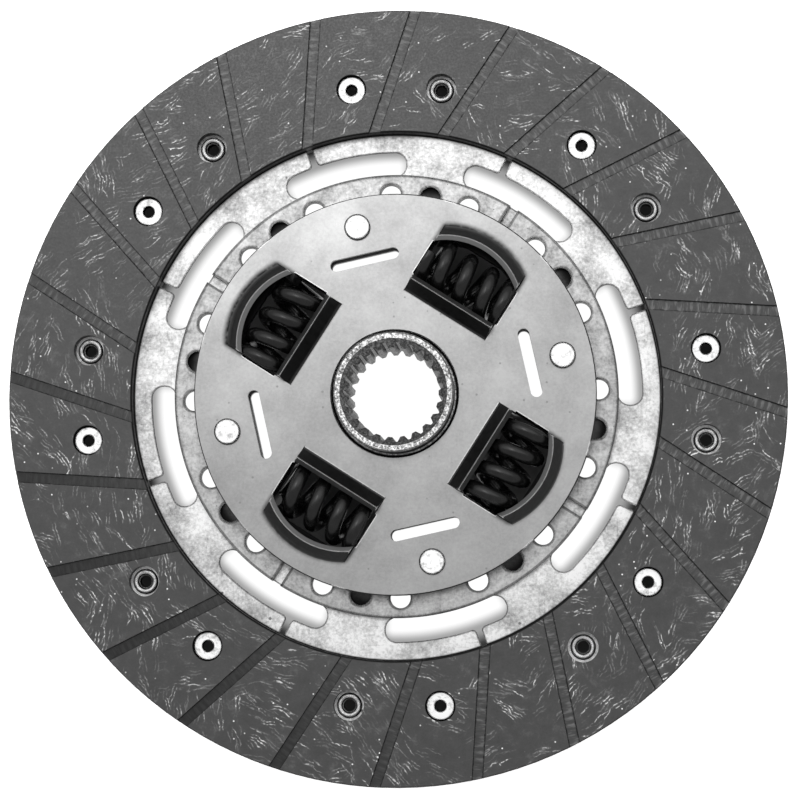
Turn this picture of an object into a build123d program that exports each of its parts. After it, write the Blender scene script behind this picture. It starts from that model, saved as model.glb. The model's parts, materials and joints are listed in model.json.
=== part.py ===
from build123d import *

import os
from math import acos, cos, degrees, hypot, pi, radians, sin, sqrt

# Dry clutch disc with a torsion damper. Millimetres and degrees. The origin is on the hub axis, in
# the middle plane between the two friction facings; +Z points to the cover plate side. Angles are
# measured counter-clockwise from +X, seen from +Z.

# ---------------------------------------------------------------- driving dimensions: facings
disc_diameter = 200.0
facing_bore = 136.0
facing_thickness = 3.5
facing_edge_chamfer = 0.4
groove_count = 24
groove_width = 2.9
groove_depth = 0.7
groove_line_offset = 26.7  # distance of each groove's centre line from the hub axis
groove_overrun = 4.0  # groove drawn past both edges of the facing
groove_angle = 12.0  # angle at which the first groove leaves the outer edge

# ---------------------------------------------------------------- facing rivets
rivet_circle_diameter = 160.3
rivets_per_side = 8
front_rivet_angle = 8.2  # rivets with their head on the front facing
rear_rivet_angle = 36.5  # rivets with their head on the rear facing
rivet_head_diameter = 7.0
rivet_head_height = 0.8
rivet_shank_diameter = 4.0
rivet_bore_diameter = 3.0
rivet_flare_diameter = 3.6  # bore at the start of the rolled end's crest
rivet_flare_height = 0.3
rivet_roll_diameter = 6.2
rivet_roll_height = 1.1
rivet_clearance = 0.05  # radial, shank in its hole
facing_web = 1.2  # facing left under a rivet head
head_counterbore_diameter = 7.8
tail_hole_diameter = 7.8

# ---------------------------------------------------------------- cushion plate
cushion_thickness = 0.7
cushion_diameter = 197.0
arc_slot_outer_radius = 63.2
arc_slot_inner_radius = 57.0
arc_slot_angle = 12.6  # middle of the first arc slot
arc_slot_span = 30.3
arc_slot_corner_radius = 3.0
slit_angle = 19.4  # radial slit between two petals
slit_width = 1.4
slit_mouth_radius = 1.1
petal_count = 8

# ---------------------------------------------------------------- quarter plates
quarter_thickness = 1.5
quarter_outer_radius = 57.15
quarter_inner_radius = 47.5
quarter_gap = 2.3
quarter_count = 4
quarter_hole_diameter = 5.2
quarter_hole_circle_radius = 52.0
quarter_hole_pitch = 11.25

# ---------------------------------------------------------------- stop pins
pin_circle_radius = 43.9
pin_angle = 12.6
pin_collar_diameter = 9.2
pin_tenon_diameter = 6.4
pin_front_head_diameter = 6.7
pin_front_head_height = 0.9
pin_rear_head_diameter = 8.4
pin_rear_head_height = 0.9
pin_head_chamfer = 0.2
pin_clearance = 0.05  # radial, tenon in its holes
lug_radius = 6.0  # half width of the lugs that the pins clamp
lug_overlap = 1.0  # overlap of a lug with its ring

# ---------------------------------------------------------------- cover plate and driver plate
plate_thickness = 1.5
plate_gap = 5.45  # clear distance between driver plate and cover plate
cover_diameter = 103.0
cover_bore_diameter = 33.0
driver_diameter = 101.0
plate_edge_radius = 0.3
slot_length = 18.0
slot_width = 3.0
slot_circle_radius = 35.4

# ---------------------------------------------------------------- spring windows in both plates
window_count = 4
window_angle = 57.6
window_width = 24.6  # across the lips
window_relief = 0.4  # extra width on each side between the lips
window_relief_inner_radius = 28.6
window_relief_outer_radius = 38.4
window_inner_radius = 23.6  # bend line of the inner lip
window_outer_radius = 46.8  # bend line of the outer lip, on the window's middle line
window_outer_curve_radius = 22.7  # plan radius of the outer lip's bend line
lip_side_clearance = 0.15
lip_angle = 50.0
lip_bend_radius = 1.2
inner_lip_reach = 3.4
outer_lip_reach = 2.7
lip_root = 0.6  # overlap of a lip with its plate
lip_trim_height = 20.0  # more than the height of any lip

# ---------------------------------------------------------------- torsion springs
spring_circle_radius = 34.0
spring_outer_diameter = 14.8
spring_wire_diameter = 3.8
spring_end_clearance = 0.1
spring_window_clearance = 0.4  # radial, spring in the flange window
spring_turns = 4.2
spring_closed_turns = 0.7
spring_closed_pitch = 3.9
spring_ground_inset = 0.55  # first and last point of the wire's centre line, inside the ground face
spring_points_per_turn = 12
spring_start_angles = (150.0, 60.0, 20.0, 330.0)

# ---------------------------------------------------------------- hub
hub_diameter = 30.6
hub_front_height = 12.2
hub_rear_height = 12.2
hub_edge_chamfer = 0.4
flange_thickness = 3.0
flange_diameter = 92.8
flange_root_radius = 33.3
flange_notch_overrun = 5.0  # notch drawn past the flange's edge
flange_corner_radius = 1.5
flange_window_corner_radius = 0.5
damper_travel = 8.0  # degrees each way
travel_clearance = 0.6  # degrees left at the end of the travel
spline_teeth = 23
spline_major_diameter = 25.4
spline_minor_diameter = 22.8
spline_tip_width = 1.1
spline_root_width = 0.7
spline_root_fillet = 0.25
spline_gap_angle = 304.5
spline_gap_overrun = 1.0  # tooth gap drawn past the tooth tips
spline_chamfer_diameter = 27.4

# ---------------------------------------------------------------- friction stack around the hub
friction_outer_diameter = 45.0
friction_bore_diameter = 32.6
friction_washer_thickness = 0.6
disc_spring_thickness = 0.4
disc_spring_dish = 0.12
bush_running_clearance = 0.05  # radial, hub in the centring bush
bush_wall = 2.0
bush_projection = 0.8  # bush standing out behind the driver plate
axial_play = 0.05

# ---------------------------------------------------------------- derived heights and radii
cushion_top = cushion_thickness / 2
facing_top = cushion_top + facing_thickness
quarter_top = cushion_top + quarter_thickness
driver_front = -cushion_top
driver_rear = driver_front - plate_thickness
cover_rear = driver_front + plate_gap
cover_front = cover_rear + plate_thickness
damper_middle = (driver_front + cover_rear) / 2
flange_rear = damper_middle - flange_thickness / 2
flange_front = damper_middle + flange_thickness / 2
rivet_radius = rivet_circle_diameter / 2
hub_radius = hub_diameter / 2
minor_radius = spline_minor_diameter / 2
major_radius = spline_major_diameter / 2
window_curve_centre = window_outer_radius - window_outer_curve_radius
through_hole_count = round(180 / quarter_hole_pitch)  # every second hole goes on through the cushion plate
through_hole_angle = pin_angle + quarter_hole_pitch
quarter_turn = 360 / quarter_count


def ring_sector(inner, outer, middle_angle, span):
    """Face between two radii, over span degrees about middle_angle."""
    with BuildSketch() as sector:
        with BuildLine():
            outside = CenterArc((0, 0), outer, middle_angle - span / 2, span)
            inside = CenterArc((0, 0), inner, middle_angle - span / 2, span)
            Line(outside @ 0, inside @ 0)
            Line(outside @ 1, inside @ 1)
        make_face()
    return sector.sketch


def corners_near(sketch, radius, tolerance=0.05):
    """Corners of an open sketch that lie on a circle about the hub axis."""
    return [v for v in sketch.vertices() if abs(hypot(v.X, v.Y) - radius) < tolerance]


def lug_outline(outer):
    """Rounded lug around a stop pin, reaching in from a ring's inner edge."""
    with BuildSketch() as lug:
        with Locations((pin_circle_radius, 0)):
            Circle(lug_radius)
        with Locations(((pin_circle_radius + outer) / 2, 0)):
            Rectangle(outer - pin_circle_radius, 2 * lug_radius)
    return lug.sketch


# ================================================================ friction facings
# Each groove is a straight channel, so it is one rectangle beside the hub axis, turned round it.
outer_groove_run = sqrt((disc_diameter / 2) ** 2 - groove_line_offset**2)
inner_groove_run = sqrt((facing_bore / 2) ** 2 - groove_line_offset**2)
groove_direction = groove_angle + degrees(acos(2 * groove_line_offset / disc_diameter)) - 90
groove_length = outer_groove_run - inner_groove_run + 2 * groove_overrun
groove_middle = (outer_groove_run + inner_groove_run) / 2

with BuildPart() as friction_facing_front:
    with BuildSketch(Plane.XY.offset(cushion_top)):
        Circle(disc_diameter / 2)
        Circle(facing_bore / 2, mode=Mode.SUBTRACT)
    extrude(amount=facing_thickness)
    chamfer(friction_facing_front.faces().sort_by(Axis.Z)[-1].edges(), facing_edge_chamfer)
    with BuildSketch(Plane.XY.offset(facing_top)):
        with PolarLocations(0, groove_count, start_angle=groove_direction):
            with Locations((groove_middle, groove_line_offset)):
                Rectangle(groove_length, groove_width)
    extrude(amount=-groove_depth, mode=Mode.SUBTRACT)
    with BuildSketch(Plane.XY.offset(cushion_top)):
        with PolarLocations(rivet_radius, rivets_per_side, start_angle=front_rivet_angle):
            Circle(rivet_shank_diameter / 2 + rivet_clearance)
        with PolarLocations(rivet_radius, rivets_per_side, start_angle=rear_rivet_angle):
            Circle(tail_hole_diameter / 2)
    extrude(amount=facing_thickness, mode=Mode.SUBTRACT)
    with BuildSketch(Plane.XY.offset(cushion_top + facing_web)):
        with PolarLocations(rivet_radius, rivets_per_side, start_angle=front_rivet_angle):
            Circle(head_counterbore_diameter / 2)
    extrude(amount=facing_thickness - facing_web, mode=Mode.SUBTRACT)

# The rear facing is the same ring turned over about the line midway between the two rivet sets, so
# that its counterbores meet the other set of rivets.
turn_over_angle = (front_rivet_angle + rear_rivet_angle) / 2
turn_over = Axis((0, 0, 0), (cos(radians(turn_over_angle)), sin(radians(turn_over_angle)), 0))

with BuildPart() as friction_facing_rear:
    add(friction_facing_front.part.rotate(turn_over, 180))

# ================================================================ cushion plate
with BuildSketch() as petal_slot:
    add(ring_sector(arc_slot_inner_radius, arc_slot_outer_radius, arc_slot_angle, arc_slot_span))
    fillet(petal_slot.vertices(), arc_slot_corner_radius)
    with PolarLocations((cushion_diameter / 2 + arc_slot_outer_radius) / 2, 1, start_angle=slit_angle):
        Rectangle(cushion_diameter / 2 - arc_slot_outer_radius + slit_mouth_radius, slit_width)
    mouth_x = arc_slot_outer_radius * cos(radians(slit_angle))
    mouth_y = arc_slot_outer_radius * sin(radians(slit_angle))
    fillet(
        [
            v
            for v in corners_near(petal_slot, arc_slot_outer_radius)
            if hypot(v.X - mouth_x, v.Y - mouth_y) < slit_width
        ],
        slit_mouth_radius,
    )

with BuildPart() as cushion_plate:
    with BuildSketch(Plane.XY.offset(-cushion_top)):
        Circle(cushion_diameter / 2)
        Circle(quarter_inner_radius, mode=Mode.SUBTRACT)
        with PolarLocations(0, quarter_count, start_angle=pin_angle):
            add(lug_outline(quarter_inner_radius + lug_overlap))
        with PolarLocations(0, petal_count):
            add(petal_slot.sketch, mode=Mode.SUBTRACT)
        with PolarLocations(quarter_hole_circle_radius, through_hole_count, start_angle=through_hole_angle):
            Circle(quarter_hole_diameter / 2, mode=Mode.SUBTRACT)
        with PolarLocations(rivet_radius, rivets_per_side, start_angle=front_rivet_angle):
            Circle(rivet_shank_diameter / 2 + rivet_clearance, mode=Mode.SUBTRACT)
        with PolarLocations(rivet_radius, rivets_per_side, start_angle=rear_rivet_angle):
            Circle(rivet_shank_diameter / 2 + rivet_clearance, mode=Mode.SUBTRACT)
        with PolarLocations(pin_circle_radius, quarter_count, start_angle=pin_angle):
            Circle(pin_tenon_diameter / 2 + pin_clearance, mode=Mode.SUBTRACT)
    extrude(amount=cushion_thickness)

# ================================================================ quarter plates
def quarter_plate(angle):
    """One quarter ring with square ends, a lug for its stop pin and a row of holes each side."""
    side = 2 * quarter_outer_radius
    with BuildPart() as plate:
        with BuildSketch(Plane.XY.offset(cushion_top)):
            Circle(quarter_outer_radius)
            with PolarLocations(quarter_gap / sqrt(2), 1, start_angle=angle):
                Rectangle(
                    side, side, rotation=-45, align=(Align.MIN, Align.MIN), mode=Mode.INTERSECT
                )
            Circle(quarter_inner_radius, mode=Mode.SUBTRACT)
            with PolarLocations(0, 1, start_angle=angle):
                add(lug_outline(quarter_inner_radius + lug_overlap))
            with PolarLocations(pin_circle_radius, 1, start_angle=angle):
                Circle(pin_tenon_diameter / 2 + pin_clearance, mode=Mode.SUBTRACT)
            for step in (-3, -2, -1, 1, 2, 3):
                hole_angle = angle + step * quarter_hole_pitch
                with PolarLocations(quarter_hole_circle_radius, 1, start_angle=hole_angle):
                    Circle(quarter_hole_diameter / 2, mode=Mode.SUBTRACT)
        extrude(amount=quarter_thickness)
    return plate.part


quarter_plates = [quarter_plate(pin_angle + i * quarter_turn) for i in range(quarter_count)]


# ================================================================ window lips
# Drawn for a window on the +X axis, with Z = 0 on the plate face that looks at the springs.
def lip_profile(bend_at, reach, side):
    """Section of a lip in the XZ plane. It bends up at bend_at and leans by lip_angle towards side
    (+1 away from the hub, -1 towards it), until its upper corner is reach from the bend line."""
    lean = radians(lip_angle)
    along = (reach - lip_bend_radius * sin(lean)) / cos(lean)
    upper_end = lip_bend_radius * sin(lean)
    upper_rise = plate_thickness + lip_bend_radius * (1 - cos(lean))
    lower_radius = lip_bend_radius + plate_thickness
    lower_end = lower_radius * sin(lean)
    lower_rise = lower_radius * (1 - cos(lean))
    slope = (along * cos(lean), along * sin(lean))

    def at(run, rise):
        return (bend_at + side * run, rise)

    with BuildSketch(Plane.XZ) as section:
        with BuildLine():
            Polyline(at(0, 0), at(-lip_root, 0), at(-lip_root, plate_thickness), at(0, plate_thickness))
            ThreePointArc(
                at(0, plate_thickness),
                at(
                    lip_bend_radius * sin(lean / 2),
                    plate_thickness + lip_bend_radius * (1 - cos(lean / 2)),
                ),
                at(upper_end, upper_rise),
            )
            Polyline(
                at(upper_end, upper_rise),
                at(upper_end + slope[0], upper_rise + slope[1]),
                at(lower_end + slope[0], lower_rise + slope[1]),
                at(lower_end, lower_rise),
            )
            ThreePointArc(
                at(lower_end, lower_rise),
                at(lower_radius * sin(lean / 2), lower_radius * (1 - cos(lean / 2))),
                at(0, 0),
            )
        make_face()
    return section


lip_half_width = window_width / 2 - lip_side_clearance

with BuildPart() as window_lips:
    add(lip_profile(window_outer_radius, outer_lip_reach, -1).sketch)
    revolve(axis=Axis((window_curve_centre, 0, 0), (0, 0, 1)))
    with Locations((window_outer_radius, 0, plate_thickness)):
        Box(window_outer_curve_radius, 2 * lip_half_width, lip_trim_height, mode=Mode.INTERSECT)
    add(lip_profile(window_inner_radius, inner_lip_reach, 1).sketch)
    extrude(amount=lip_half_width, dir=(0, 1, 0), both=True)

with BuildSketch() as window_outline:
    with Locations((window_curve_centre, 0)):
        Circle(window_outer_curve_radius)
    with Locations((window_inner_radius, 0)):
        Rectangle(
            window_outer_radius,
            window_width,
            align=(Align.MIN, Align.CENTER),
            mode=Mode.INTERSECT,
        )
    with Locations(((window_relief_inner_radius + window_relief_outer_radius) / 2, 0)):
        Rectangle(
            window_relief_outer_radius - window_relief_inner_radius,
            window_width + 2 * window_relief,
        )


def damper_plate(diameter, bore):
    """Flat plate with its bore, pin holes, slots and lipped windows, its spring side at Z = 0."""
    with BuildPart() as plate:
        with BuildSketch():
            Circle(diameter / 2)
            Circle(bore / 2, mode=Mode.SUBTRACT)
        extrude(amount=plate_thickness)
        rim = plate.faces().sort_by(Axis.Z)[-1].edges().sort_by(SortBy.LENGTH)[-1]
        fillet(rim, plate_edge_radius)
        with BuildSketch():
            with PolarLocations(pin_circle_radius, quarter_count, start_angle=pin_angle):
                Circle(pin_tenon_diameter / 2 + pin_clearance)
            with PolarLocations(slot_circle_radius, quarter_count, start_angle=pin_angle):
                SlotOverall(slot_length, slot_width, rotation=90)
            with PolarLocations(0, window_count, start_angle=window_angle):
                add(window_outline.sketch)
        extrude(amount=plate_thickness, mode=Mode.SUBTRACT)
        with PolarLocations(0, window_count, start_angle=window_angle):
            add(window_lips.part)
    return plate.part


with BuildPart() as cover_plate:
    with Locations((0, 0, cover_rear)):
        add(damper_plate(cover_diameter, cover_bore_diameter))

bush_outer_diameter = hub_diameter + 2 * (bush_running_clearance + bush_wall)

with BuildPart() as driver_plate:
    with Locations((0, 0, driver_front)):
        add(damper_plate(driver_diameter, bush_outer_diameter).mirror(Plane.XY))


# ================================================================ stop pins
def stop_pin(angle):
    """Distance pin: a collar between quarter plate and cover plate, a riveted tenon each side."""
    with BuildPart() as pin:
        with BuildSketch(Plane.XZ):
            with BuildLine():
                Polyline(
                    (0, driver_rear - pin_rear_head_height),
                    (pin_rear_head_diameter / 2 - pin_head_chamfer, driver_rear - pin_rear_head_height),
                    (pin_rear_head_diameter / 2, driver_rear - pin_rear_head_height + pin_head_chamfer),
                    (pin_rear_head_diameter / 2, driver_rear),
                    (pin_tenon_diameter / 2, driver_rear),
                    (pin_tenon_diameter / 2, quarter_top),
                    (pin_collar_diameter / 2, quarter_top),
                    (pin_collar_diameter / 2, cover_rear),
                    (pin_tenon_diameter / 2, cover_rear),
                    (pin_tenon_diameter / 2, cover_front),
                    (pin_front_head_diameter / 2, cover_front),
                    (pin_front_head_diameter / 2, cover_front + pin_front_head_height - pin_head_chamfer),
                    (pin_front_head_diameter / 2 - pin_head_chamfer, cover_front + pin_front_head_height),
                    (0, cover_front + pin_front_head_height),
                    close=True,
                )
            make_face()
        revolve(axis=Axis.Z)
    return Rotation(0, 0, angle) * Pos(pin_circle_radius, 0, 0) * pin.part


stop_pins = [stop_pin(pin_angle + i * quarter_turn) for i in range(quarter_count)]

# ================================================================ facing rivets
# Tubular rivet: a flat head on the web of one facing, the tube's end rolled over on the cushion
# plate, inside the plain hole of the other facing.
head_seat = cushion_top + facing_web
roll_middle = (rivet_roll_diameter + rivet_flare_diameter) / 4
roll_bottom = -cushion_top - rivet_roll_height
flare_bottom = -cushion_top - rivet_flare_height

with BuildPart() as facing_rivets_front:
    with BuildSketch(Plane.XZ):
        with BuildLine():
            Polyline(
                (rivet_roll_diameter / 2, -cushion_top),
                (rivet_shank_diameter / 2, -cushion_top),
                (rivet_shank_diameter / 2, head_seat),
                (rivet_head_diameter / 2, head_seat),
                (rivet_head_diameter / 2, head_seat + rivet_head_height),
                (rivet_bore_diameter / 2, head_seat + rivet_head_height),
                (rivet_bore_diameter / 2, -cushion_top),
                (rivet_flare_diameter / 2, flare_bottom),
            )
            ThreePointArc(
                (rivet_flare_diameter / 2, flare_bottom),
                (roll_middle, roll_bottom),
                (rivet_roll_diameter / 2, -cushion_top),
            )
        make_face()
    rivet_body = revolve(axis=Axis.Z, mode=Mode.PRIVATE)
    with PolarLocations(rivet_radius, rivets_per_side, start_angle=front_rivet_angle):
        add(rivet_body)

with BuildPart() as facing_rivets_rear:
    add(facing_rivets_front.part.rotate(turn_over, 180))

# ================================================================ hub
# The flange is a star: four lobes hold the springs, and the gaps between them leave room for the
# pin lugs over the whole travel.
lug_half_angle = degrees(lug_radius / pin_circle_radius)
notch_span = 2 * (lug_half_angle + damper_travel + travel_clearance)
notch_outer = flange_diameter / 2 + flange_notch_overrun
flange_window_height = spring_outer_diameter + 2 * spring_window_clearance

with BuildSketch() as spline_gap:
    with BuildLine():
        gap_mouth = 2 * pi * minor_radius / spline_teeth - spline_tip_width
        Polyline(
            (minor_radius - spline_gap_overrun, gap_mouth / 2),
            (minor_radius, gap_mouth / 2),
            (major_radius, spline_root_width / 2),
            (major_radius, -spline_root_width / 2),
            (minor_radius, -gap_mouth / 2),
            (minor_radius - spline_gap_overrun, -gap_mouth / 2),
            close=True,
        )
    make_face()
    fillet(spline_gap.vertices().group_by(Axis.X)[-1], spline_root_fillet)

with BuildPart() as hub:
    with BuildSketch(Plane.XY.offset(-hub_rear_height)):
        Circle(hub_radius)
    extrude(amount=hub_rear_height + hub_front_height)
    chamfer(hub.edges().filter_by(GeomType.CIRCLE), hub_edge_chamfer)
    with BuildSketch(Plane.XY.offset(flange_rear)) as flange_sketch:
        Circle(flange_diameter / 2)
        with PolarLocations(0, quarter_count, start_angle=pin_angle):
            add(ring_sector(flange_root_radius, notch_outer, 0, notch_span), mode=Mode.SUBTRACT)
        fillet(flange_sketch.vertices(), flange_corner_radius)
        with PolarLocations(spring_circle_radius, window_count, start_angle=window_angle):
            RectangleRounded(
                flange_window_height,
                window_width,
                flange_window_corner_radius,
                mode=Mode.SUBTRACT,
            )
    extrude(amount=flange_thickness)
    with BuildSketch(Plane.XY.offset(-hub_rear_height)):
        Circle(minor_radius)
        with PolarLocations(0, spline_teeth, start_angle=spline_gap_angle):
            add(spline_gap.sketch)
    extrude(amount=hub_rear_height + hub_front_height, mode=Mode.SUBTRACT)
    chamfer_radius = spline_chamfer_diameter / 2
    with BuildSketch(Plane.XZ):
        with BuildLine():
            Polyline(
                (0, hub_front_height),
                (chamfer_radius, hub_front_height),
                (0, hub_front_height - chamfer_radius),
                close=True,
            )
        make_face()
        with BuildLine():
            Polyline(
                (0, -hub_rear_height),
                (chamfer_radius, -hub_rear_height),
                (0, -hub_rear_height + chamfer_radius),
                close=True,
            )
        make_face()
    revolve(axis=Axis.Z, mode=Mode.SUBTRACT)

# ================================================================ friction stack
bush_inner_radius = hub_radius + bush_running_clearance
friction_outer_radius = friction_outer_diameter / 2
friction_inner_radius = friction_bore_diameter / 2

with BuildPart() as centring_bush:
    with BuildSketch(Plane.XZ):
        with BuildLine():
            Polyline(
                (bush_inner_radius, driver_rear - bush_projection),
                (bush_outer_diameter / 2, driver_rear - bush_projection),
                (bush_outer_diameter / 2, driver_front),
                (friction_outer_radius, driver_front),
                (friction_outer_radius, flange_rear - axial_play),
                (bush_inner_radius, flange_rear - axial_play),
                close=True,
            )
        make_face()
    revolve(axis=Axis.Z)

with BuildPart() as friction_washer:
    with BuildSketch(Plane.XY.offset(flange_front + axial_play)):
        Circle(friction_outer_radius)
        Circle(friction_inner_radius, mode=Mode.SUBTRACT)
    extrude(amount=friction_washer_thickness)

washer_top = flange_front + axial_play + friction_washer_thickness

with BuildPart() as disc_spring:
    with BuildSketch(Plane.XZ):
        with BuildLine():
            Polyline(
                (friction_outer_radius, washer_top),
                (friction_outer_radius, washer_top + disc_spring_thickness),
                (friction_inner_radius, washer_top + disc_spring_dish + disc_spring_thickness),
                (friction_inner_radius, washer_top + disc_spring_dish),
                close=True,
            )
        make_face()
    revolve(axis=Axis.Z)


# ================================================================ torsion springs
# Helical springs with closed, ground ends. Their axes lie across the windows, halfway between the
# two plates. The wire's advance per turn is small at the ends and even between them.
spring_length = window_width - 2 * spring_end_clearance
centre_line_length = spring_length - 2 * spring_ground_inset
open_turns = spring_turns - 2 * spring_closed_turns
open_pitch = (centre_line_length - 2 * spring_closed_turns * spring_closed_pitch) / open_turns
coil_radius = (spring_outer_diameter - spring_wire_diameter) / 2


def wire_advance(turn):
    """Distance of the wire's centre line from its start, after so many turns."""
    first = min(turn, spring_closed_turns) * spring_closed_pitch
    middle = min(max(turn - spring_closed_turns, 0), open_turns) * open_pitch
    last = max(turn - spring_closed_turns - open_turns, 0) * spring_closed_pitch
    return first + middle + last


def torsion_spring(start_angle):
    """Right-hand spring lying along Y, with its middle at the origin."""
    count = int(spring_turns * spring_points_per_turn) + 1
    points = []
    for i in range(count):
        turn = spring_turns * i / (count - 1)
        angle = radians(start_angle) - 2 * pi * turn
        along = wire_advance(turn) - centre_line_length / 2
        points.append((coil_radius * cos(angle), along, coil_radius * sin(angle)))
    with BuildPart() as spring:
        with BuildLine() as wire:
            Spline(*points)
        with BuildSketch(Plane(origin=wire.line @ 0, z_dir=wire.line % 0)):
            Circle(spring_wire_diameter / 2)
        sweep(is_frenet=True)
        split(bisect_by=Plane.XZ.offset(spring_length / 2), keep=Keep.BOTTOM)
        split(bisect_by=Plane.XZ.offset(-spring_length / 2), keep=Keep.TOP)
    return spring.part


def spring_place(index):
    """Moves a spring from the origin into its window."""
    angle = window_angle + index * 360 / window_count
    return Rotation(0, 0, angle) * Pos(spring_circle_radius, 0, damper_middle)


torsion_springs = [
    spring_place(i) * torsion_spring(spring_start_angles[i]) for i in range(window_count)
]

# ================================================================ export
os.makedirs("parts", exist_ok=True)


def write(part, name):
    part.label = name
    export_step(part, f"parts/{name}.step")


write(friction_facing_front.part, "friction_facing_front")
write(friction_facing_rear.part, "friction_facing_rear")
write(cushion_plate.part, "cushion_plate")
write(cover_plate.part, "cover_plate")
write(driver_plate.part, "driver_plate")
write(facing_rivets_front.part, "facing_rivets_front")
write(facing_rivets_rear.part, "facing_rivets_rear")
write(hub.part, "hub")
write(centring_bush.part, "centring_bush")
write(friction_washer.part, "friction_washer")
write(disc_spring.part, "disc_spring")
for i in range(quarter_count):
    write(quarter_plates[i], f"quarter_plate_{i + 1}")
    write(stop_pins[i], f"stop_pin_{i + 1}")
for i in range(window_count):
    write(torsion_springs[i], f"torsion_spring_{i + 1}")
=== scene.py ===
import json
from math import ceil, cos, pi, radians, sin

import bpy
from mathutils import Matrix, Vector


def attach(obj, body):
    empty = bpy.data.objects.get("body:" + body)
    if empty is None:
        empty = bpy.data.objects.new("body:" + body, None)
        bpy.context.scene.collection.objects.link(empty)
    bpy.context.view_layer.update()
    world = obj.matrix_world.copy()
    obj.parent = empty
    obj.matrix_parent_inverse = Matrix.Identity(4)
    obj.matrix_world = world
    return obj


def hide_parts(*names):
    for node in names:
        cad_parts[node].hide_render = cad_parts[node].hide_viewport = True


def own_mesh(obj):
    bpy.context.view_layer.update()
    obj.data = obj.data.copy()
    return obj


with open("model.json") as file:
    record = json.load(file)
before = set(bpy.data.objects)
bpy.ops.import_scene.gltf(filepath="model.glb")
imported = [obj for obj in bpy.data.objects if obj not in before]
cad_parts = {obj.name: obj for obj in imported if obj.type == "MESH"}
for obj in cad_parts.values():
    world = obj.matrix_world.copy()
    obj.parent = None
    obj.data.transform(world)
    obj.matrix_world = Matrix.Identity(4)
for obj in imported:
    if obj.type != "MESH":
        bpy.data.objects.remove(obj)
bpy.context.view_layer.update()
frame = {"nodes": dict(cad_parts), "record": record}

# The disc lies on its hub's rear end, with +Z up. Sizes are in millimetres, and angles are in
# degrees, counter-clockwise from +X as seen from above.
MM = 0.001

# ---------------------------------------------------------------- friction facings
facing_top = 3.85
groove_floor = 3.15
facing_bore_radius = 68.0
groove_line_offset = 26.7  # from the hub axis to each groove's middle line
groove_angle = -3.49  # of the first groove, where it leaves the outer edge, less its own lean
groove_half_width = 1.45
groove_turn = 15.0
turn_over_angle = 44.7  # an angle on the front facing and its match on the rear one add up to this

# ---------------------------------------------------------------- yarn and wire in the facings
yarn_layers = ((8.0, 0.0), (5.2, 37.0), (6.6, 71.0), (4.2, 113.0), (7.4, 151.0))  # spacing, offset
yarn_patch = 17.0  # across a patch of yarns that lie much the same way
yarn_clump = 9.0  # across a place that shows yarn ends
yarn_wave_length = 2.4
yarn_wave = 1.5
strand_gap = 0.42  # half the gap between the two strands of a doubled yarn
brass_dot_spacing = 3.4
brass_dot_clump = 11.0
# Painted shade: the groove floors are painted darker, with less sheen, towards this side of the disc.
soot_direction = (-0.75, -0.65, 0.0)
soot_spread = (25.0, 95.0)  # distances in that direction between which painted shade in the groove floors sets in

# ---------------------------------------------------------------- cushion plate and hub
closed_hole_ring = 52.0
closed_hole_angle = 35.1  # the first of eight holes that end on the cushion plate
closed_hole_edge = (3.2, 2.9)  # radii between which the painted shade in a closed hole sets in
slot_angle = 12.6  # the middle of the first petal slot and of the first cover slot
petal_turn = 45.0
hub_radius = 15.3
hub_end = 12.2

# ---------------------------------------------------------------- cover plate and driver plate
cover_front = 6.6
driver_rear = -1.85
window_angle = 57.6
window_turn = 90.0
lip_centre = 24.1  # on a window's middle line, where the arc of its outer lip has its centre
lip_radius = 22.7
outer_lip_start = 36.0  # from the hub axis; what lies further out belongs to a window's outer lip
smoke_reach = 1.3  # how far the painted shade of the lip's bend spreads outside an outer lip

# Each pair gives where a painted mark sets in and where it is full (the grey sheared faces, painted
# highlights on edges, and the painted shade beside the outer lips): three heights above a plate's face,
# and then three distances off a window's middle line.
sheared_face_height = (0.9, 1.2)
outer_tip_height = (1.9, 2.2)
inner_tip_height = (2.7, 3.0)
lip_end = (13.6, 12.0)
window_side = (12.4, 12.8)
window_side_end = (16.5, 15.5)

# ---------------------------------------------------------------- torsion springs
spring_circle_radius = 34.0
spring_middle_height = 2.375
spring_outer_diameter = 14.8
spring_wire_diameter = 3.8
spring_length = 24.4
spring_turns = 4.2
spring_closed_turns = 0.7
spring_closed_pitch = 3.9
spring_ground_inset = 0.55
spring_start_angles = (150.0, 60.0, 20.0, 330.0)
wire_steps_per_turn = 56
wire_sides = 28
ground_edge_angle = 40.0  # edges of the wire sharper than this stay sharp
tangent_step = 0.01  # turns ahead and behind, between which the wire's direction is taken

# ---------------------------------------------------------------- white card
# The card's dim tone under the disc is painted shade, and its glow under the openings is painted light.
card_half_width = 1500.0
card_tone_open = 1.6
card_tone_covered = 0.12
card_tone_bounced = 0.8  # what the disc gets back from it
glow_under_openings = 1.0
glow_around = 0.5
light_drift = (0.75, -1.05, 0.0)  # from each opening to the lit patch below it

# Each pair gives where the painted light, a glow, under an opening has faded out and where it is full.
petal_slot_ends = (18.5, 13.0)  # degrees from the slot's middle
petal_slot_inside = (57.0, 57.6)
petal_slot_shade = (64.3, 60.9)  # painted shade: the slot's outer half is dimmed, as if in the shade of the facings
petal_slot_outside = (68.6, 64.6)
petal_slot_shade_tone = 0.33
hole_ring_inside = (46.0, 47.0)
hole_ring_outside = (57.6, 57.0)
cover_slot_ends = (23.0, 18.0)  # degrees too
cover_slot_inside = (26.0, 28.0)
cover_slot_outside = (44.0, 42.0)
bore_outside = (17.5, 16.0)
card_beside_disc = (92.0, 98.0)

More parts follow.
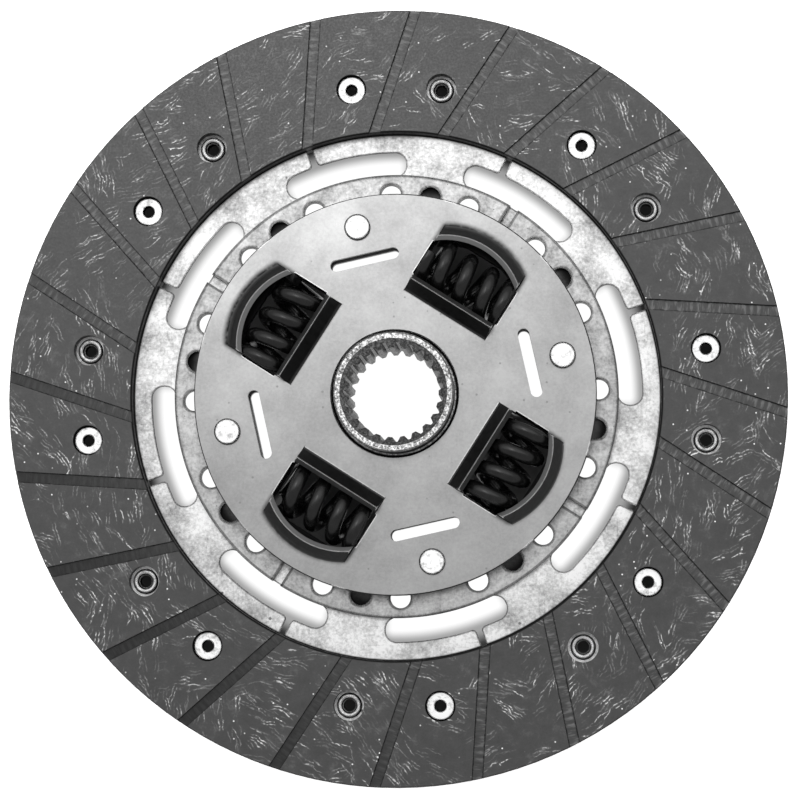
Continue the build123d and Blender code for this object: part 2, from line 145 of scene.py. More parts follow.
# ---------------------------------------------------------------- studio and camera
softbox_place = (-140.0, 340.0, 930.0)
softbox_size = 320.0
softbox_watts = 0.9
horizon_level = 0.6
zenith_level = 0.64
panel_level = 1.15
panel_front_edge = (0.055, 0.115)  # of a ray's unit vector along Y
panel_lower_edge = (0.4, 0.8)  # and along Z
camera_place = (42.17, -60.35, 686.22)
camera_aim = (1.0, -1.12, 0.0)
camera_lens = 120.6
camera_sensor = 36.0
camera_near = 50.0
camera_far = 20000.0


# ================================================================ small tools
# Cosines of the rounded normal's turn where a sharp edge starts to show and where it shows fully.
edge_turn = (0.9998, 0.996)

# Kinds of shader node: Blender's name, its settings, and its inputs in the order of the values.
map_inputs = ("Value", "From Min", "From Max", "To Min", "To Max")
kinds = {
    "plus": ("Math", {"operation": "ADD"}, (0, 1)),
    "minus": ("Math", {"operation": "SUBTRACT"}, (0, 1)),
    "times": ("Math", {"operation": "MULTIPLY"}, (0, 1)),
    "times plus": ("Math", {"operation": "MULTIPLY_ADD"}, (0, 1, 2)),
    "divided by": ("Math", {"operation": "DIVIDE"}, (0, 1)),
    "larger of": ("Math", {"operation": "MAXIMUM"}, (0, 1)),
    "above": ("Math", {"operation": "GREATER_THAN"}, (0, 1)),
    "unsigned": ("Math", {"operation": "ABSOLUTE"}, (0,)),
    "sine": ("Math", {"operation": "SINE"}, (0,)),
    "cosine": ("Math", {"operation": "COSINE"}, (0,)),
    "arcsine": ("Math", {"operation": "ARCSINE"}, (0,)),
    "angle of": ("Math", {"operation": "ARCTAN2"}, (0, 1)),
    "wrap": ("Math", {"operation": "WRAP"}, (0, 1, 2)),
    "back and forth": ("Math", {"operation": "PINGPONG"}, (0, 1)),
    "vector plus": ("VectorMath", {"operation": "ADD"}, (0, 1)),
    "vector minus": ("VectorMath", {"operation": "SUBTRACT"}, (0, 1)),
    "vector times": ("VectorMath", {"operation": "MULTIPLY"}, (0, 1)),
    "scaled": ("VectorMath", {"operation": "SCALE"}, (0, "Scale")),
    "length": ("VectorMath", {"operation": "LENGTH"}, (0,)),
    "dot": ("VectorMath", {"operation": "DOT_PRODUCT"}, (0, 1)),
    "turned": ("VectorRotate", {"rotation_type": "Z_AXIS"}, ("Vector", "Angle")),
    "split": ("SeparateXYZ", {}, (0,)),
    "join": ("CombineXYZ", {}, (0, 1)),
    "even step": ("MapRange", {}, map_inputs),
    "smooth step": ("MapRange", {"interpolation_type": "SMOOTHSTEP"}, map_inputs),
    "blend": ("Mix", {"data_type": "FLOAT"}, (0, 2, 3)),
    "colour blend": ("MixRGB", {}, (0, "Color1", "Color2")),
    "colour ramp": ("ValToRGB", {}, (0,)),
    "noise": ("TexNoise", {"noise_dimensions": "3D"}, ("Vector", "Scale", "Detail", "Roughness")),
    "flat cells": ("TexVoronoi", {"voronoi_dimensions": "2D"}, ("Vector", "Scale")),
    "cells": ("TexVoronoi", {"voronoi_dimensions": "3D"}, ("Vector", "Scale")),
    "bevel": ("Bevel", {"samples": 6}, ("Radius",)),
    "bump": ("Bump", {}, ("Height", "Distance", "Strength")),
    "geometry": ("NewGeometry", {}, ()),
    "coordinates": ("TexCoord", {}, ()),
    "light path": ("LightPath", {}, ()),
    "diffuse": ("BsdfDiffuse", {}, ("Color",)),
    "emission": ("Emission", {}, ("Strength",)),
    "both shaders": ("AddShader", {}, (0, 1)),
    "surface": ("OutputMaterial", {}, ("Surface",)),
}


def srgb(hex_colour):
    """Linear colour from an sRGB hex value such as "8c8c8c"."""
    channels = [int(hex_colour[i : i + 2], 16) / 255 for i in (0, 2, 4)]
    linear = [c / 12.92 if c <= 0.04045 else ((c + 0.055) / 1.055) ** 2.4 for c in channels]
    return (*linear, 1.0)


def add(tree, kind, *values, stops=()):
    """Adds a shader node. A value is a number, a tuple, a socket, or a node, whose first output is
    then used. Values beyond the kind's inputs go through more nodes of that kind, one by one. Stops
    are a colour ramp's (place, hex colour) pairs."""
    node_type, settings, inputs = kinds[kind]
    made = tree.nodes.new("ShaderNode" + node_type)
    for name, setting in settings.items():
        setattr(made, name, setting)
    for name, value in zip(inputs, values):
        if isinstance(value, bpy.types.Node):
            value = value.outputs[0]
        if isinstance(value, bpy.types.NodeSocket):
            tree.links.new(value, made.inputs[name])
        else:
            made.inputs[name].default_value = value
    if stops:
        ramp = made.color_ramp.elements
        for place, _ in stops[2:]:
            ramp.new(place)
        for element, (place, colour) in zip(ramp, stops):
            element.position = place
            element.color = srgb(colour)
    rest = values[len(inputs) :]
    return add(tree, kind, made, *rest) if rest else made


def feed(tree, shader, **sources):
    """Links each node's first output to the shader's input of that name."""
    for socket, source in sources.items():
        tree.links.new(source.outputs[0], shader.inputs[socket.replace("_", " ")])


def place_in_mm(tree):
    """The piece's own coordinates in millimetres, so that a pattern's scale is 1 / its real size."""
    return add(tree, "scaled", add(tree, "coordinates").outputs["Object"], 1 / MM)


def new_finish(name, **values):
    """Material with one Principled shader, and its coordinates in millimetres."""
    material = bpy.data.materials.new(name)
    material.use_nodes = True
    tree = material.node_tree
    shader = tree.nodes["Principled BSDF"]
    for socket, value in values.items():
        shader.inputs[socket.replace("_", " ")].default_value = value
    return material, tree, shader, place_in_mm(tree)


def polar(tree, place):
    """Distance from the hub axis and angle round it (radians)."""
    flat = add(tree, "vector times", place, (1, 1, 0))
    at = add(tree, "split", place)
    angle = add(tree, "angle of", at.outputs["Y"], at.outputs["X"])
    return add(tree, "length", flat).outputs["Value"], angle


def from_repeat(tree, angle, first, step):
    """Unsigned angle (radians) to the nearest of the places first, first + step, ... in degrees."""
    moved = add(tree, "minus", angle, radians(first))
    return add(tree, "back and forth", moved, radians(step / 2))


def surface_up(tree):
    """How far the true surface faces up or down: 1 on flats, 0 on upright walls."""
    normal = add(tree, "split", add(tree, "geometry").outputs["True Normal"])
    return add(tree, "unsigned", normal.outputs["Z"])


def sharp_edge(tree, radius):
    """1 on a band of about radius (mm) along sharp edges, 0 on flats. Most samples of the rounded
    normal lie close to the point, so a small turn of it already counts as an edge."""
    rounded = add(tree, "bevel", radius * MM)
    same = add(tree, "dot", rounded, add(tree, "geometry").outputs["Normal"])
    return add(tree, "smooth step", same.outputs["Value"], *edge_turn)


def wear_bump(tree, shader, height, depth, strength):
    """Bump of so many millimetres' depth, linked to the shader."""
    feed(tree, shader, Normal=add(tree, "bump", height, depth * MM, strength))


# ================================================================ finishes
def yarn_ends(tree, place):
    """Short wavy ends of yarn and brass wire, cut through when the lining was ground. They lie in
    patches, each with its own slant to the winding direction."""
    streaks = None
    waves = add(tree, "noise", place, 1 / yarn_wave_length, 2.0)
    for spacing, offset in yarn_layers:
        moved = add(tree, "vector plus", place, (offset, -offset, 0))
        yarn = add(tree, "flat cells", moved, 1 / spacing)
        chance = add(tree, "split", yarn.outputs["Color"])
        point = yarn.outputs["Position"]
        centre = add(tree, "vector minus", point, (offset, -offset, 0))
        patch = add(tree, "flat cells", centre, 1 / yarn_patch)
        patch_chance = add(tree, "split", patch.outputs["Color"])
        slant = add(tree, "even step", patch_chance.outputs["X"], 0, 1, 2.5, 0.5)
        own_slant = add(tree, "even step", chance.outputs["X"], 0, 1, -0.3, 0.3)
        lean = add(tree, "plus", slant, own_slant)
        turn_back = add(tree, "times", add(tree, "plus", polar(tree, centre)[1], lean), -1.0)
        from_point = add(tree, "vector minus", moved, point)
        local = add(tree, "split", add(tree, "turned", from_point, turn_back))
        along = local.outputs["X"]
        bend = add(tree, "even step", chance.outputs["Y"], 0, 1, -0.07, 0.07)
        bent = add(tree, "times plus", add(tree, "times", along, along), bend, local.outputs["Y"])
        waved = add(tree, "minus", add(tree, "times plus", waves, yarn_wave, bent), yarn_wave / 2)
        gap = add(tree, "smooth step", chance.outputs["Z"], 0.45, 0.5, 0.0, strand_gap)
        off_strand = add(tree, "unsigned", add(tree, "minus", add(tree, "unsigned", waved), gap))
        off_middle = add(tree, "unsigned", along)
        clump = add(tree, "noise", centre, 1 / yarn_clump, 1.0)
        streak = add(
            tree,
            "times",
            add(tree, "smooth step", off_strand, 0.24, 0.05),
            add(tree, "smooth step", off_middle, 0.48 * spacing, 0.2 * spacing),
            add(tree, "smooth step", clump, 0.4, 0.56),
            add(tree, "even step", chance.outputs["Y"], 0, 1, 0.15, 1.0),
        )
        streaks = streak if streaks is None else add(tree, "larger of", streaks, streak)
    frayed = add(tree, "smooth step", add(tree, "noise", place, 1 / 0.8, 2.0), 0.36, 0.6, 0.25, 1.0)
    return add(tree, "times", streaks, frayed)


def groove_place(tree, place):
    """Distance (mm) across the nearest groove from its middle line, and distance along it. The rear
    facing is the front one turned over."""
    radius, angle = polar(tree, place)
    turned_over = add(tree, "minus", radians(turn_over_angle), angle)
    front = add(tree, "above", add(tree, "split", place).outputs["Z"], 0.0)
    angle = add(tree, "blend", front, turned_over, angle)
    lean = add(tree, "arcsine", add(tree, "divided by", groove_line_offset, radius))
    from_first = add(tree, "minus", angle, radians(groove_angle), lean)
    half = radians(groove_turn / 2)
    own = add(tree, "plus", add(tree, "wrap", from_first, half, -half), lean)
    off_axis = add(tree, "times", radius, add(tree, "sine", own))
    along = add(tree, "times", radius, add(tree, "cosine", own))
    return add(tree, "minus", off_axis, groove_line_offset), along


def friction_lining():
    """Resin-bonded yarn lining, moulded, baked and ground: a dull dark grey face with pale cut ends of
    yarn and bright wire dots. The unground groove floors show cross ribs between sides in painted
    shade. Towards one side of the disc they are painted darker, with less sheen, as painted shade."""
    material, tree, shader, place = new_finish("Ground yarn lining")
    at = add(tree, "split", place)
    height = add(tree, "unsigned", at.outputs["Z"])
    flat = add(tree, "join", at.outputs["X"], at.outputs["Y"])

    # Ground face. Its grit is drawn coarser than the real one, so that it shows.
    streaks = yarn_ends(tree, flat)
    wire = add(tree, "flat cells", flat, 1 / brass_dot_spacing)
    wire_chance = add(tree, "split", wire.outputs["Color"])
    clump = add(tree, "noise", flat, 1 / brass_dot_clump, 2.0)
    dots = add(
        tree,
        "times",
        add(tree, "smooth step", wire.outputs["Distance"], 0.085, 0.045),
        add(tree, "smooth step", wire_chance.outputs["X"], 0.5, 0.8),
        add(tree, "smooth step", clump, 0.42, 0.58),
    )
    clouds = add(tree, "noise", flat, 1 / 14.0, 4.0, 0.6)
    patches = add(tree, "noise", flat, 1 / 3.0, 3.0, 0.6)
    grit = add(tree, "noise", flat, 1 / 0.6, 4.0, 0.7)
    tone = add(tree, "times plus", clouds, 0.26, -0.2)
    tone = add(tree, "times plus", patches, 0.42, tone)
    tone = add(tree, "times plus", grit, 0.24, tone)
    tone = add(tree, "times plus", streaks, 0.7, tone)
    tone = add(tree, "larger of", tone, dots)

    # Groove floors: ribs across the groove, and painted shade, darker towards one side of the disc.
    across, along = groove_place(tree, place)
    rib_place = add(tree, "join", add(tree, "times", across, 0.25), along)
    ribs = add(tree, "noise", rib_place, 1 / 0.9, 2.0, 0.6)
    rib_tone = add(tree, "smooth step", ribs, 0.35, 0.7, 0.16, 0.5)
    in_groove = add(tree, "smooth step", height, facing_top - 0.1, groove_floor + 0.1)
    sooty_side = add(tree, "dot", place, soot_direction).outputs["Value"]
    soot = add(tree, "smooth step", sooty_side, *soot_spread, 0.0, 0.6)
    clean = add(tree, "minus", 1.0, soot)
    tone = add(tree, "blend", in_groove, tone, add(tree, "times", rib_tone, clean))

    # Painted shade: the ragged sides of the grooves, upright walls and the edge of the bore are painted
    # dark, with less sheen.
    ragged = add(tree, "noise", flat, 1 / 1.1, 3.0, 0.6)
    off_middle = add(tree, "times plus", ragged, 0.9, add(tree, "unsigned", across))
    side = add(tree, "smooth step", off_middle, groove_half_width, groove_half_width + 0.45)
    wall = add(tree, "smooth step", surface_up(tree), 0.9, 0.6)
    radius = polar(tree, place)[0]
    bore_edge = add(tree, "smooth step", radius, facing_bore_radius + 0.6, facing_bore_radius + 0.25)
    dark = add(tree, "larger of", add(tree, "times", side, in_groove), wall, bore_edge)
    tone = add(tree, "blend", dark, tone, 0.12)

    stops = [(0.0, "060606"), (0.3, "303030"), (0.6, "707070"), (1.0, "f0f0f0")]
    dull = add(tree, "larger of", dark, add(tree, "times", in_groove, soot))
    feed(
        tree,
        shader,
        Base_Color=add(tree, "colour ramp", tone, stops=stops),
        Roughness=add(tree, "smooth step", grit, 0.3, 0.7, 0.48, 0.33),
        Specular_IOR_Level=add(tree, "blend", dull, 0.66, 0.08),
    )
    wear_bump(tree, shader, add(tree, "times plus", streaks, 0.6, grit), depth=0.02, strength=0.4)
    return material


def sheet_tone(tree, place, cloud_size, speck_size, grain_depth):
    """Tone of rolled sheet, about 0.5: soft clouds left by pickling and oil, fine grain, short
    scratches both ways, and scattered specks. Grain and scratches are drawn coarser than the real
    ones, so that they show."""
    clouds = add(tree, "noise", place, 1 / cloud_size, 5.0, 0.62)
    grain = add(tree, "noise", place, 1 / 0.7, 3.0, 0.65)
    grain = add(tree, "even step", grain, 0.3, 0.7, -grain_depth, grain_depth)
    tone = add(tree, "plus", clouds, grain)
    for stretch in ((0.12, 2.2, 1.0), (1.7, 0.16, 1.0)):
        drawn = add(tree, "noise", add(tree, "vector times", place, stretch), 1 / 1.1, 2.0, 0.6)
        scratch = add(tree, "smooth step", drawn, 0.62, 0.72, 0.0, -0.45 * grain_depth)
        tone = add(tree, "plus", tone, scratch)
    speck = add(tree, "cells", place, 1 / speck_size)
    speck_chance = add(tree, "split", speck.outputs["Color"])
    shown = add(tree, "smooth step", speck_chance.outputs["X"], 0.72, 0.78)
    spot = add(tree, "smooth step", speck.outputs["Distance"], 0.13, 0.05)
    return add(tree, "times plus", add(tree, "times", spot, shown), -0.5, tone)


def sheet_finish(name, stops, roughness, cloud_size, speck_size, edge_width, grain_depth, stain=None):
    """Bare steel sheet: clouded flats, and painted shade on a band of so many millimetres along the
    edges, where the roll-over would reflect the dark room, and on the sheared walls. The painted shade,
    if any is given, takes coordinates and gives a further factor of darkness."""
    material, tree, shader, place = new_finish(name, Metallic=1.0)
    tone = sheet_tone(tree, place, cloud_size, speck_size, grain_depth)
    flat_colour = add(tree, "colour ramp", tone, stops=stops)
    # Painted shade: the walls and a band along sharp edges are painted dark, and so is the given
    # painted shade.
    wall = add(tree, "smooth step", surface_up(tree), 0.8, 0.4)
    dark = add(tree, "larger of", wall, add(tree, "times", sharp_edge(tree, edge_width), 0.92))
    if stain:
        dark = add(tree, "larger of", dark, stain(tree, place))
    feed(
        tree,
        shader,
        Base_Color=add(tree, "colour blend", dark, flat_colour, srgb("161616")),
        Roughness=add(tree, "even step", tone, 0, 1, roughness + 0.1, roughness - 0.06),
    )
    wear_bump(tree, shader, add(tree, "noise", place, 1 / 0.8, 4.0, 0.6), depth=0.02, strength=0.5)
    return material


def cushion_stain(tree, place):
    """Painted shade: black, darker towards the outside, where the cushion plate closes a hole of the
    ring above it, and a dark band under the bore edge of the friction facings."""
    radius, angle = polar(tree, place)
    aside = add(tree, "times", radius, from_repeat(tree, angle, closed_hole_angle, petal_turn))
    outward = add(tree, "minus", radius, closed_hole_ring)
    distance = add(tree, "length", add(tree, "join", aside, outward)).outputs["Value"]
    in_hole = add(tree, "smooth step", distance, *closed_hole_edge)
    closed = add(tree, "times", in_hole, add(tree, "smooth step", outward, -1.5, 2.0, 0.86, 1.0))
    rim = add(
        tree,
        "times",
        add(tree, "smooth step", radius, facing_bore_radius - 0.6, facing_bore_radius - 0.15),
        add(tree, "smooth step", radius, facing_bore_radius + 2, facing_bore_radius + 1),
    )
    return add(tree, "larger of", closed, rim)


def spring_steel_sheet():
    """Hardened spring steel strip, pickled: the brightest sheet, with grey stains in clouds."""
    stops = [(0.2, "7c7c7c"), (0.4, "b4b4b4"), (0.62, "e2e2e2")]
    return sheet_finish(
        "Pickled spring steel strip",
        stops,
        roughness=0.46,
        cloud_size=12.0,
        speck_size=4.0,
        edge_width=0.65,
        grain_depth=0.13,
        stain=cushion_stain,
    )


def blanked_steel():
    """Blanked mild steel sheet: light grey, freckled, with painted shade along its edges and walls."""
    stops = [(0.1, "6c6c6c"), (0.4, "969696"), (0.75, "bababa")]
    return sheet_finish(
        "Blanked mild steel",
        stops,
        roughness=0.36,
        cloud_size=4.0,
        speck_size=1.7,
        edge_width=1.1,
        grain_depth=0.17,
    )


def window_place(tree, place):
    """Distance (mm) from the hub axis along the middle line of the nearest spring window, and
    distance (unsigned) from that line."""
    radius, angle = polar(tree, place)
    off_line = from_repeat(tree, angle, window_angle, window_turn)
    outward = add(tree, "times", radius, add(tree, "cosine", off_line))
    return outward, add(tree, "times", radius, add(tree, "sine", off_line))


def lip_smoke(tree, place, outward, sideways):
    """Factor of painted shade on the flat outside a window's outer lip, where it bends up. It reaches
    half a millimetre further, or less far, according to the side of the plate, as light falls."""
    from_centre = add(tree, "join", add(tree, "minus", outward, lip_centre), sideways)
    distance = add(tree, "length", from_centre).outputs["Value"]
    far_side = add(tree, "dot", place, (-1.0, 1.0, 0.0)).outputs["Value"]
    reach = add(tree, "smooth step", far_side, -50.0, 50.0, -0.5, 0.5)
    past_reach = add(tree, "minus", distance, reach)
    patchy = add(tree, "noise", place, 1 / 1.6, 4.0, 0.6)
    return add(
        tree,
        "times",
        add(tree, "smooth step", past_reach, lip_radius + smoke_reach, lip_radius - 0.4),
        add(tree, "smooth step", sideways, *lip_end),
        add(tree, "smooth step", outward, outer_lip_start, outer_lip_start + 2),
        add(tree, "smooth step", patchy, 0.25, 0.6, 0.75, 1.0),
    )


def pressed_plate_steel():
    """Pressed drawing-quality steel, lightly oiled: satin grey flats with faint clouds, painted shade
    in near black on the bent lips, the bends and upright walls and beside the outer lips, and painted
    highlights along edges."""
    material, tree, shader, place = new_finish("Pressed drawing steel", Metallic=1.0)
    outward, sideways = window_place(tree, place)
    at_outer_lip = add(tree, "smooth step", outward, outer_lip_start, outer_lip_start + 1)
    tone = sheet_tone(tree, place, cloud_size=16.0, speck_size=3.0, grain_depth=0.09)
    stops = [(0.12, "808080"), (0.42, "949494"), (0.72, "a6a6a6")]
    colour = add(tree, "colour ramp", tone, stops=stops)
    # Painted shade beside the outer lips' bends.
    smoke = lip_smoke(tree, place, outward, sideways)
    colour = add(tree, "colour blend", smoke, colour, srgb("1a1a1a"))

    # Painted shade: the bent lips, the bends and upright walls are painted near black, and less
    # metallic.
    level = add(tree, "split", place).outputs["Z"]
    above = add(tree, "minus", level, cover_front)
    below = add(tree, "minus", driver_rear, level)
    raised = add(tree, "larger of", above, below)
    up = surface_up(tree)
    dark = add(
        tree,
        "larger of",
        add(tree, "smooth step", raised, 0.02, 0.3),
        add(tree, "smooth step", up, 0.999, 0.985),
        add(tree, "smooth step", up, 0.6, 0.3),
    )
    scale = add(tree, "noise", place, 1 / 1.2, 4.0, 0.6)
    oxide = add(tree, "colour ramp", scale, stops=[(0.3, "060606"), (0.8, "1e1e1e")])
    colour = add(tree, "colour blend", dark, colour, oxide)

    # Grey sheared end faces of the outer lips.
    sheared = add(
        tree,
        "times",
        add(tree, "smooth step", raised, *sheared_face_height),
        add(tree, "smooth step", up, 0.69, 0.74),
        add(tree, "smooth step", up, 0.86, 0.8),
        at_outer_lip,
        0.9,
    )
    colour = add(tree, "colour blend", sheared, colour, srgb("8c8c8c"))

    # Painted highlights along edges at the tips of the lips and along the windows' cut sides.
    inner_tip = add(tree, "smooth step", raised, *inner_tip_height)
    outer_tip = add(tree, "times", add(tree, "smooth step", raised, *outer_tip_height), at_outer_lip)
    cut_side = add(
        tree,
        "times",
        add(tree, "smooth step", sideways, *window_side),
        add(tree, "smooth step", sideways, *window_side_end),
    )
    cut = add(tree, "larger of", inner_tip, outer_tip, cut_side)
    patchy = add(tree, "smooth step", scale, 0.3, 0.5, 0.4, 0.9)
    rubbed = add(tree, "times", sharp_edge(tree, 0.35), cut, patchy)
    colour = add(tree, "colour blend", rubbed, colour, srgb("e0e0e0"))

    # Painted shade, less the painted highlights and grey faces, makes the surface less metallic.
    scaled = add(tree, "minus", dark, add(tree, "larger of", sheared, rubbed))
    feed(
        tree,
        shader,
        Base_Color=colour,
        Metallic=add(tree, "smooth step", scaled, 0.1, 0.9, 1.0, 0.15),
        Roughness=add(tree, "even step", tone, 0, 1, 0.33, 0.26),
    )
    wear_bump(tree, shader, add(tree, "noise", place, 1 / 1.0, 4.0, 0.6), depth=0.015, strength=0.4)
    return material


def headed_steel(name, wall_colour, edge_width):
    """Bright cold-headed steel: near-white flat heads with dull specks, and painted shade on the sides
    and in a dark line round the head."""
    material, tree, shader, place = new_finish(name, Metallic=1.0, Roughness=0.5)
    mottle = add(tree, "noise", place, 1 / 1.6, 4.0, 0.65)
    head = add(tree, "colour ramp", mottle, stops=[(0.28, "a4a4a4"), (0.5, "f4f4f4")])
    wall = add(tree, "smooth step", surface_up(tree), 0.86, 0.5)
    dark = add(tree, "larger of", wall, sharp_edge(tree, edge_width))
    feed(tree, shader, Base_Color=add(tree, "colour blend", dark, head, srgb(wall_colour)))
    wear_bump(tree, shader, add(tree, "noise", place, 1 / 0.5, 3.0, 0.5), depth=0.01, strength=0.4)
    return material


def machined_hub_steel():
    """Forged, turned and broached steel: coarse bright turned end faces, with painted shade by the way
    each surface faces, making the chamfer darker and the teeth darker still, near black painted shade
    beyond the boss, and faint painted highlights on sharp edges. The tool marks are drawn as a mottle
    that is coarser than the real ones, so that it shows."""
    material, tree, shader, place = new_finish("Turned and broached steel", Metallic=1.0)
    mottle = add(tree, "noise", place, 1 / 0.6, 4.0, 0.7)
    oily = add(tree, "noise", place, 1 / 1.1, 5.0, 0.75)
    tooth = add(tree, "colour ramp", oily, stops=[(0.38, "060606"), (0.5, "2c2c2c"), (0.62, "8a8a8a")])
    cone = add(tree, "colour ramp", mottle, stops=[(0.32, "3c3c3c"), (0.5, "747474"), (0.66, "b4b4b4")])
    end = add(tree, "colour ramp", mottle, stops=[(0.36, "404040"), (0.48, "9c9c9c"), (0.6, "f0f0f0")])
    # Painted shade: the colour depends on which way the surface faces, darkest on the upright teeth.
    up = surface_up(tree)
    colour = add(tree, "colour blend", add(tree, "smooth step", up, 0.2, 0.45), tooth, cone)
    colour = add(tree, "colour blend", add(tree, "smooth step", up, 0.9, 0.98), colour, end)
    # Painted shade: near black beyond the boss.
    radius = polar(tree, place)[0]
    oiled = add(tree, "smooth step", radius, hub_radius + 0.1, hub_radius + 0.5)
    colour = add(tree, "colour blend", oiled, colour, srgb("121212"))
    # Faint painted highlights on sharp edges.
    worn = add(tree, "times", sharp_edge(tree, 0.16), add(tree, "minus", 1.0, oiled), 0.25)
    feed(
        tree,
        shader,
        Base_Color=add(tree, "colour blend", worn, colour, srgb("e6e6e6")),
        Roughness=add(tree, "even step", mottle, 0, 1, 0.55, 0.35),
    )
    wear_bump(tree, shader, mottle, depth=0.06, strength=0.7)
    return material


def black_spring_wire():
    """Oil-tempered spring wire: black scale with a soft oily shine and faint drawing lines."""
    material, tree, shader, place = new_finish("Oil-tempered wire", Specular_IOR_Level=0.38)
    scale = add(tree, "noise", place, 1 / 1.8, 4.0, 0.6)
    feed(
        tree,
        shader,
        Base_Color=add(tree, "colour ramp", scale, stops=[(0.3, "050505"), (0.75, "181818")]),
        Roughness=add(tree, "even step", scale, 0, 1, 0.14, 0.36),
    )
    wear_bump(tree, shader, add(tree, "noise", place, 1 / 0.5, 3.0, 0.6), depth=0.015, strength=0.5)
    return material


def filled_polyamide():
    """Glass-filled black polyamide, moulded: dull, with a faint fibre bloom."""
    material, tree, shader, place = new_finish("Glass-filled polyamide", Roughness=0.55)
    bloom = add(tree, "noise", place, 1 / 0.9, 4.0, 0.6)
    colour = add(tree, "colour ramp", bloom, stops=[(0.3, "101010"), (0.8, "2c2c2c")])
    feed(tree, shader, Base_Color=colour)
    wear_bump(tree, shader, bloom, depth=0.02, strength=0.4)
    return material


def lit_under_openings(tree, radius, angle):
    """Factor of painted light, a glow, on the card below the disc's openings, each patch with soft
    edges.
    """
    to_petal_slot = from_repeat(tree, angle, slot_angle, petal_turn)
    to_cover_slot = from_repeat(tree, angle, slot_angle, 2 * petal_turn)
    petal_slots = add(
        tree,
        "times",
        add(tree, "smooth step", to_petal_slot, *map(radians, petal_slot_ends)),
        add(tree, "smooth step", radius, *petal_slot_shade, petal_slot_shade_tone, 1.0),
        add(tree, "smooth step", radius, *petal_slot_outside),
        add(tree, "smooth step", radius, *petal_slot_inside),
    )
    hole_ring = add(
        tree,
        "times",
        add(tree, "smooth step", radius, *hole_ring_outside),
        add(tree, "smooth step", radius, *hole_ring_inside),
    )
    cover_slots = add(
        tree,
        "times",
        add(tree, "smooth step", to_cover_slot, *map(radians, cover_slot_ends)),
        add(tree, "smooth step", radius, *cover_slot_outside),
        add(tree, "smooth step", radius, *cover_slot_inside),
    )
    bore = add(tree, "smooth step", radius, *bore_outside)
    return add(tree, "larger of", petal_slots, hole_ring, cover_slots, bore)


def white_card():
    """Matt white card under the disc. To the eye and in reflections it is white around the disc, glows
    with painted light, soft-edged, straight below each opening, and is painted dim, as painted shade,
    where the disc covers it."""
    material = bpy.data.materials.new("Matt white card")
    material.use_nodes = True
    tree = material.node_tree
    tree.nodes.clear()
    path = add(tree, "light path")
    seen = add(tree, "larger of", path.outputs["Is Camera Ray"], path.outputs["Is Glossy Ray"])
    radius, angle = polar(tree, add(tree, "vector plus", place_in_mm(tree), light_drift))
    around = add(tree, "smooth step", radius, *card_beside_disc)
    seen_tone = add(tree, "blend", around, card_tone_covered, card_tone_open)
    card = add(tree, "diffuse", add(tree, "blend", seen, card_tone_bounced, seen_tone))
    glow = add(tree, "times", lit_under_openings(tree, radius, angle), glow_under_openings)
    glow = add(tree, "times plus", around, glow_around, glow)
    light = add(tree, "emission", add(tree, "times", glow, seen))
    add(tree, "surface", add(tree, "both shaders", card, light))
    return material


finishes = {
    "friction_lining": friction_lining(),
    "spring_steel_sheet": spring_steel_sheet(),
    "steel_sheet": blanked_steel(),
    "pressed_steel": pressed_plate_steel(),
    "bright_pin_steel": headed_steel("Cold-headed pin steel", wall_colour="1c1c1c", edge_width=0.75),
    "rivet_metal": headed_steel("Bright tubular rivet", wall_colour="141414", edge_width=0.35),
    "bush_plastic": filled_polyamide(),
    "forged_steel": machined_hub_steel(),
    "black_spring_wire": black_spring_wire(),
}

for part in frame["record"]["subparts"]:
    for material_slot in frame["nodes"][part["node"]].material_slots:
        material_slot.material = finishes[part["material_slot"]]


# ================================================================ torsion springs
centre_line_length = spring_length - 2 * spring_ground_inset
open_turns = spring_turns - 2 * spring_closed_turns
open_pitch = (centre_line_length - 2 * spring_closed_turns * spring_closed_pitch) / open_turns
coil_radius = (spring_outer_diameter - spring_wire_diameter) / 2


def wire_advance(turn):
    """Distance of the wire's centre line from its start, after so many turns."""
    first = min(turn, spring_closed_turns) * spring_closed_pitch
    middle = min(max(turn - spring_closed_turns, 0), open_turns) * open_pitch
    last = max(turn - spring_closed_turns - open_turns, 0) * spring_closed_pitch
    return first + middle + last


def coil_point(turn, start_angle):
    """Point of the wire's centre line, for a right-hand spring along Y with its middle at 0."""
    angle = radians(start_angle) - 2 * pi * turn
    along = wire_advance(turn) - centre_line_length / 2
    return Vector((coil_radius * cos(angle), along, coil_radius * sin(angle)))


def wire_ring(turn, start_angle):
    """Points round the wire after so many turns, cut off at the spring's ground ends."""
    here = coil_point(turn, start_angle)
    ahead = coil_point(turn + tangent_step, start_angle) - coil_point(turn - tangent_step, start_angle)
    outward = Vector((here.x, 0, here.z)).normalized()
    sideways = ahead.normalized().cross(outward).normalized()
    points = []
    for k in range(wire_sides):
        angle = 2 * pi * k / wire_sides
        point = here + spring_wire_diameter / 2 * (cos(angle) * outward + sin(angle) * sideways)
        point.y = max(-spring_length / 2, min(spring_length / 2, point.y))
        points.append(point * MM)
    return points


def coil_spring(name, start_angle):
    """Mesh of a helical spring with closed ends, ground flat at both ends."""
    steps = ceil(spring_turns * wire_steps_per_turn)
    vertices = []
    for i in range(steps + 1):
        vertices += wire_ring(spring_turns * i / steps, start_angle)
    faces = []
    for i in range(steps):
        ring = i * wire_sides
        ahead = ring + wire_sides
        for k in range(wire_sides):
            following = (k + 1) % wire_sides
            faces.append((ring + k, ring + following, ahead + following, ahead + k))
    faces.append(tuple(reversed(range(wire_sides))))
    faces.append(tuple(steps * wire_sides + k for k in range(wire_sides)))
    mesh = bpy.data.meshes.new(name)
    mesh.from_pydata(vertices, [], faces)
    mesh.validate()
    mesh.shade_smooth()
    mesh.set_sharp_from_angle(angle=radians(ground_edge_angle))
    made = bpy.data.objects.new(name, mesh)
    bpy.context.collection.objects.link(made)
    return made


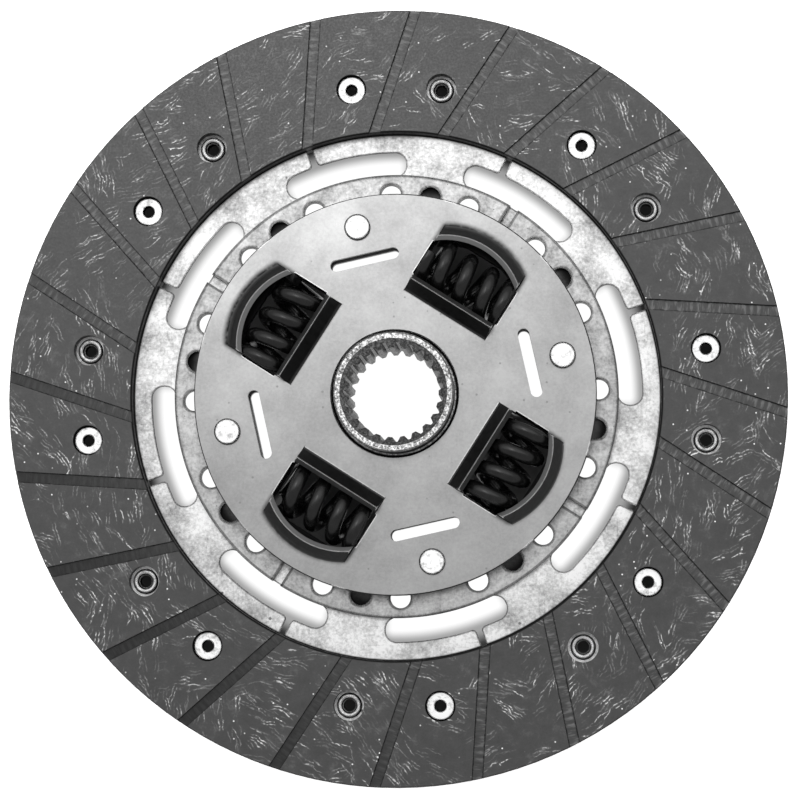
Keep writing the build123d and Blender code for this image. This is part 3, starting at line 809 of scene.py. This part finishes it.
for index, start_angle in enumerate(spring_start_angles):
    spring = coil_spring(f"coil_spring_{index + 1}", start_angle)
    turn = radians(window_angle + window_turn * index)
    middle = Vector(
        (spring_circle_radius * cos(turn), spring_circle_radius * sin(turn), spring_middle_height)
    )
    spring.data.transform(Matrix.Translation(middle * MM) @ Matrix.Rotation(turn, 4, "Z"))
    spring.data.materials.append(finishes["black_spring_wire"])
    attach(spring, "springs")
    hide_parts(f"torsion_spring_{index + 1}")
    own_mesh(spring)

# ================================================================ floor, light and camera
floor_mesh = bpy.data.meshes.new("floor")
corners = [(-1, -1), (1, -1), (1, 1), (-1, 1)]
floor_half = card_half_width * MM
floor_mesh.from_pydata([(x * floor_half, y * floor_half, 0) for x, y in corners], [], [(0, 1, 2, 3)])
floor = bpy.data.objects.new("floor", floor_mesh)
floor.location.z = -hub_end * MM
bpy.context.collection.objects.link(floor)
floor_mesh.materials.append(white_card())

softbox_data = bpy.data.lights.new("softbox", "AREA")
softbox_data.shape = "DISK"
softbox_data.size = softbox_size * MM
softbox_data.energy = softbox_watts
softbox = bpy.data.objects.new("softbox", softbox_data)
softbox.location = Vector(softbox_place) * MM
softbox.rotation_euler = (-softbox.location).to_track_quat("-Z", "Y").to_euler()
bpy.context.collection.objects.link(softbox)

# Studio: grey walls and ceiling, a wide pale panel over the far side, and plain white to the camera.
world = bpy.data.worlds.new("studio")
bpy.context.scene.world = world
world.use_nodes = True
studio = world.node_tree
background = studio.nodes["Background"]
ray = add(studio, "split", add(studio, "coordinates").outputs["Generated"])
walls = add(studio, "smooth step", ray.outputs["Z"], 0.0, 0.8, horizon_level, zenith_level)
panel = add(
    studio,
    "times",
    add(studio, "smooth step", ray.outputs["Y"], *panel_front_edge),
    add(studio, "smooth step", ray.outputs["Z"], *panel_lower_edge),
    panel_level,
)
lit_level = add(studio, "plus", walls, panel)
to_camera = add(studio, "light path").outputs["Is Camera Ray"]
feed(studio, background, Strength=add(studio, "blend", to_camera, lit_level, 1.0))
background.inputs["Color"].default_value = (1, 1, 1, 1)

camera_data = bpy.data.cameras.new("camera")
camera_data.lens = camera_lens
camera_data.sensor_width = camera_sensor
camera_data.clip_start = camera_near * MM
camera_data.clip_end = camera_far * MM
camera = bpy.data.objects.new("camera", camera_data)
backward = (Vector(camera_place) - Vector(camera_aim)).normalized()
rightward = Vector((0, 1, 0)).cross(backward).normalized()
upward = backward.cross(rightward)
turned = Matrix((rightward, upward, backward)).transposed().to_4x4()
camera.matrix_world = Matrix.Translation(Vector(camera_place) * MM) @ turned
bpy.context.collection.objects.link(camera)
bpy.context.scene.camera = camera
bpy.context.scene.view_settings.view_transform = "Standard"
